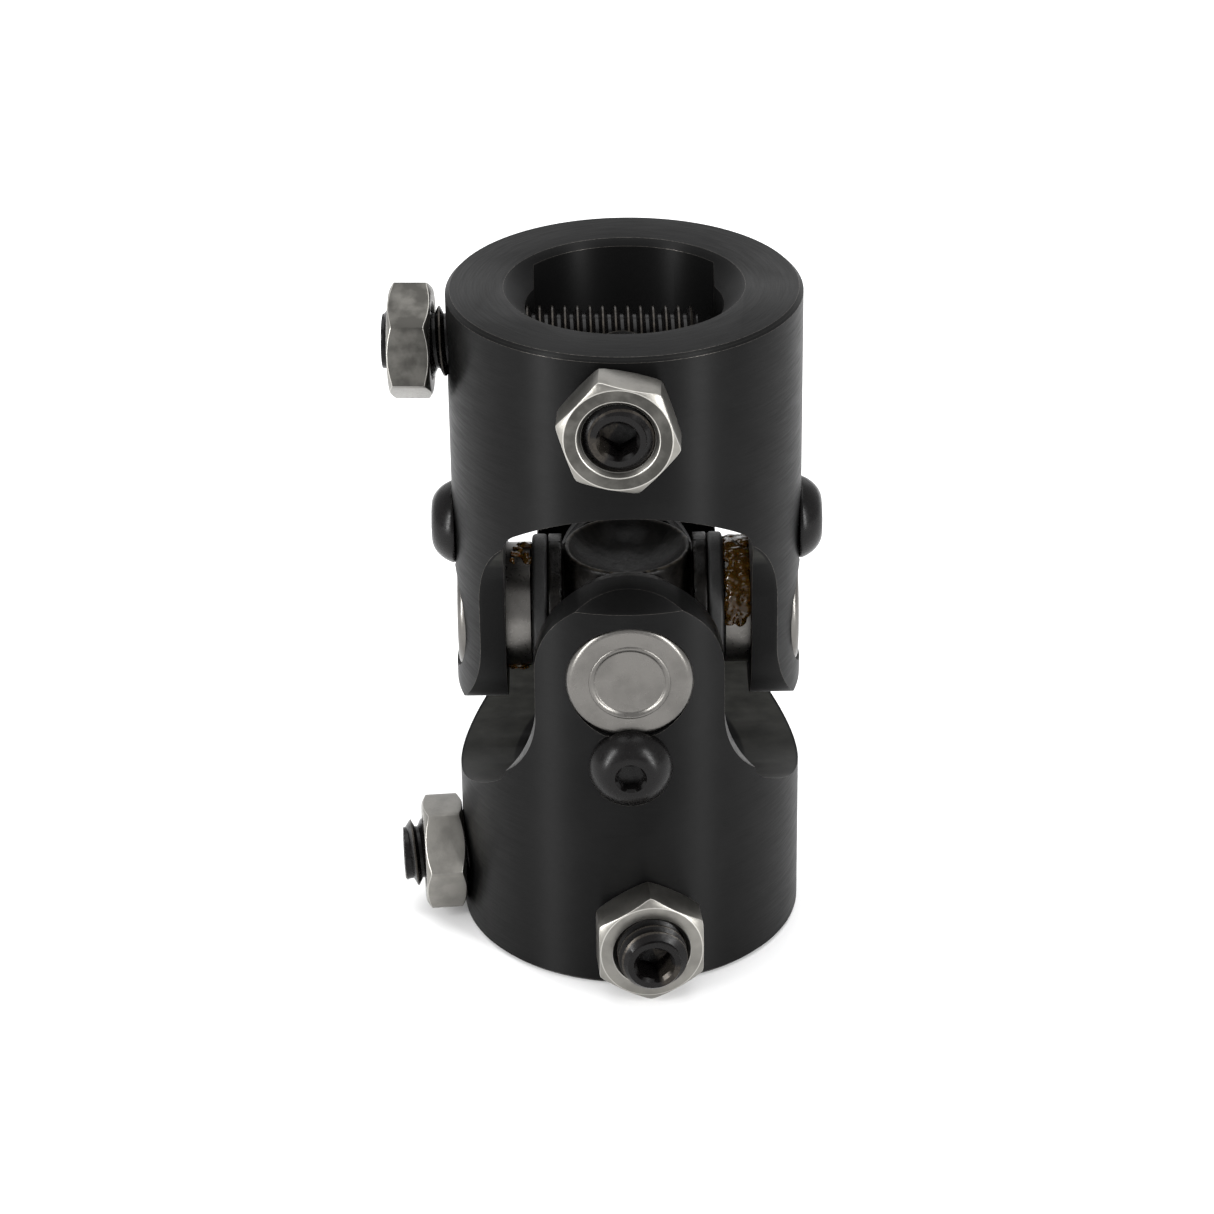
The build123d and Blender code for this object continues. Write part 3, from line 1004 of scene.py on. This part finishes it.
class JOINT_OT_make_jam_nuts(bpy.types.Operator):
    """Makes the thin hexagon jam nuts"""

    bl_idname = "joint.make_jam_nuts"
    bl_label = "Make jam nuts"

    def execute(self, context):
        material = zinc_plate()
        across = context.scene.joint_fasteners.across
        for name in SET_SCREWS:
            node = f"{name}_jam_nut"
            axis = Vector(SLIDES[node]["axis"])
            low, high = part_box(f"{name}_set_screw")
            point = Vector((0, 0, (low.z + high.z) / 2))
            start, end = reach(node, point, axis)
            bore = (high.z - low.z) / 2 + 0.03 * MM
            bm = self.make_nut(end - start, across, bore)
            self.painted_shade(bm, bore, math.radians(NUT_TURNS[name]), *NUT_PAINTED_SHADE[name])
            place = facing(point, axis, NUT_TURNS[name]) @ Matrix.Translation((0, 0, start))
            finish_piece(f"{node}_hexagon", bm, place, material, node, node, 30)
        return {"FINISHED"}

    def painted_shade(self, bm, bore, turn, outer, lower):
        """Marks painted shade on the ring round the bore, the outer face and the flats that face down."""
        layer = bm.faces.layers.float.new("painted_shade")
        bm.normal_update()
        down = Vector((-math.cos(turn), math.sin(turn), 0))
        for face in bm.faces:
            # Painted shade: the ring round the bore gets it in full, the outer face and the downward flats
            # by the amounts in the table
            if face.calc_center_median().xy.length < bore + 0.4 * MM:
                face[layer] = 1.0
            elif abs(face.normal.z) > 0.95:
                face[layer] = outer
            elif face.normal.dot(down) > -0.3 and abs(face.normal.z) < 0.1:
                face[layer] = lower

    def make_nut(self, thick, across, bore):
        """A ring shaped into a hexagon, with turned chamfers and softened corners."""
        face, sink = across / 2 - 0.12 * MM, 0.5 * MM
        corner = across / math.sqrt(3)
        slope = math.tan(math.radians(30))
        drop = (corner - face) * slope
        rings = [(bore + sink, 0), (face, 0), (corner, drop), (corner, thick - drop), (face, thick)]
        rings += [(bore + sink, thick), (bore, thick - sink), (bore, sink), (bore + sink, 0)]
        bm = turn_profile(rings, 96)
        bm.faces.layers.float.new("edge_wear")
        for vert in bm.verts:
            radius = math.hypot(vert.co.x, vert.co.y)
            if radius > face + 0.01 * MM:
                angle = math.atan2(vert.co.y, vert.co.x)
                flat = min(hexagon_radius(across, angle), corner - 0.1 * MM)
                slant = (flat - face) * slope
                vert.co.x *= flat / radius
                vert.co.y *= flat / radius
                vert.co.z = slant if vert.co.z < thick / 2 else thick - slant
        soften_edges(bm, 0.12 * MM, 16, "edge_wear")
        return bm


class JOINT_OT_make_grease(bpy.types.Operator):
    """Makes the grease that has been squeezed out beside the bearings"""

    bl_idname = "joint.make_grease"
    bl_label = "Make grease"

    def execute(self, context):
        material = lithium_grease()
        draw = random.Random(11)
        right, left = facing(CENTRE, SIDES["right"][0]), facing(CENTRE, SIDES["left"][0])
        # Each smear: name, body, frame, radius and height of its middle in mm, its span in
        # degrees from the top, how many blobs it has and their radius in mm
        smears = (
            ("grease_right_cup", "upper_yoke", right, 7.0, 12.5, (-35, 84), 280, 0.55),
            ("grease_right_cup_foot", "upper_yoke", right, 7.3, 13.2, (170, 200), 14, 0.3),
            ("grease_left_cup_top", "upper_yoke", left, 7.15, 12.0, (-25, 10), 26, 0.36),
            ("grease_left_cup_foot", "upper_yoke", left, 7.3, 12.6, (178, 215), 40, 0.36),
        )
        for name, body, place, radius, height, span, count, size in smears:
            bm = bmesh.new()
            for _ in range(count):
                angle = math.radians(draw.uniform(*span))
                ring = (radius + draw.uniform(-0.1, 0.2)) * MM
                along = (height + draw.uniform(-1.3, 1.3)) * MM
                spot = Vector((ring * math.cos(angle), ring * math.sin(angle), along))
                blob = Matrix.Translation(spot) @ Matrix.Diagonal((1, 1, draw.uniform(0.7, 1.6), 1))
                bmesh.ops.create_icosphere(
                    bm, subdivisions=2, radius=size * draw.uniform(0.6, 1.25) * MM, matrix=blob
                )
            melted = self.melt(context, bm)
            finish_piece(name, melted, place, material, None, body, 80)
        return {"FINISHED"}

    def melt(self, context, bm):
        """Joins a heap of blobs into one smooth lump."""
        heap = bpy.data.meshes.new("heap")
        bm.to_mesh(heap)
        bm.free()
        lump = remeshed(context, heap, 0.12 * MM)
        relax(lump, lump.verts, 9)
        return lump


# ---- Stage ---------------------------------------------------------------------


class JOINT_OT_set_stage(bpy.types.Operator):
    """Lays the floor, hangs the lights and sets the camera"""

    bl_idname = "joint.set_stage"
    bl_label = "Set the stage"

    def execute(self, context):
        prefs = context.scene.joint_stage
        bm = bmesh.new()
        bmesh.ops.create_grid(bm, x_segments=8, y_segments=8, size=3.0)
        mesh = bpy.data.meshes.new("floor")
        bm.to_mesh(mesh)
        bm.free()
        floor = bpy.data.objects.new("floor", mesh)
        context.scene.collection.objects.link(floor)
        mesh.materials.append(studio_paper())
        floor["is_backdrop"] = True
        world = bpy.data.worlds.new("studio")
        world.use_nodes = True
        sky = world.node_tree.nodes["Background"]
        sky.inputs["Color"].default_value = (*prefs.sky, 1.0)
        sky.inputs["Strength"].default_value = prefs.sky_strength
        context.scene.world = world
        context.scene.view_settings.view_transform = "Standard"
        for name, spot, size, power in LIGHTS:
            self.hang_light(context, name, Vector(spot), size, power)
        self.set_camera(context, prefs)
        return {"FINISHED"}

    def hang_light(self, context, name, spot, size, power):
        """An area light that faces the joint."""
        light = bpy.data.lights.new(name, "AREA")
        light.shape = "RECTANGLE"
        light.size, light.size_y = size
        light.energy = power
        lamp = bpy.data.objects.new(name, light)
        lamp.location = spot
        lamp.rotation_euler = (CENTRE - spot).to_track_quat("-Z", "Y").to_euler()
        lamp.visible_camera = False
        context.scene.collection.objects.link(lamp)

    def set_camera(self, context, prefs):
        """A long lens that looks down on the joint from the front."""
        sight = Vector((0, math.cos(prefs.elevation), -math.sin(prefs.elevation)))
        upward = Vector((0, math.sin(prefs.elevation), math.cos(prefs.elevation)))
        across = Vector((1, 0, 0))
        aim = CENTRE + Vector((prefs.aim_x, 0, prefs.aim_z))
        right = across * math.cos(prefs.roll) - upward * math.sin(prefs.roll)
        up = across * math.sin(prefs.roll) + upward * math.cos(prefs.roll)
        lens = bpy.data.cameras.new("camera")
        lens.lens = prefs.lens
        lens.clip_start = 0.01
        camera = bpy.data.objects.new("camera", lens)
        turn = Matrix((right, up, -sight)).transposed().to_4x4()
        camera.matrix_world = Matrix.Translation(aim - sight * prefs.distance) @ turn
        context.scene.collection.objects.link(camera)
        context.scene.camera = camera


# ---- Add-on --------------------------------------------------------------------


class JOINT_PT_sidebar(bpy.types.Panel):
    """Lists the settings and the makers"""

    bl_label = "Universal joint"
    bl_idname = "JOINT_PT_sidebar"
    bl_space_type = "VIEW_3D"
    bl_region_type = "UI"
    bl_category = "Joint"

    def draw(self, context):
        for name, settings in LOOKS.items():
            box = self.layout.box()
            group = getattr(context.scene, name)
            for field in settings.__annotations__:
                box.prop(group, field)
        for maker in MAKERS:
            self.layout.operator(maker.bl_idname)


LOOKS = {
    "joint_yokes": JointYokeLook,
    "joint_fasteners": JointFastenerLook,
    "joint_bearings": JointBearingLook,
    "joint_stage": JointStageLook,
}
MAKERS = (
    JOINT_OT_make_yokes,
    JOINT_OT_make_cross,
    JOINT_OT_make_bearings,
    JOINT_OT_make_cup_screws,
    JOINT_OT_make_set_screws,
    JOINT_OT_make_jam_nuts,
    JOINT_OT_make_grease,
    JOINT_OT_set_stage,
)


def register():
    for cls in (*LOOKS.values(), *MAKERS, JOINT_PT_sidebar):
        bpy.utils.register_class(cls)
    for name, settings in LOOKS.items():
        setattr(bpy.types.Scene, name, PointerProperty(type=settings))


def unregister():
    for name in LOOKS:
        delattr(bpy.types.Scene, name)
    for cls in reversed((*LOOKS.values(), *MAKERS, JOINT_PT_sidebar)):
        bpy.utils.unregister_class(cls)


def main():
    """Makes every piece in order."""
    register()
    for maker in MAKERS:
        group, action = maker.bl_idname.split(".")
        getattr(getattr(bpy.ops, group), action)()
    boxes = {"cad": CAD_BOX, "visual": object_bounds()}
    boxes = {name: [list(corner) for corner in box] for name, box in boxes.items()}


if __name__ == "__main__":
    main()
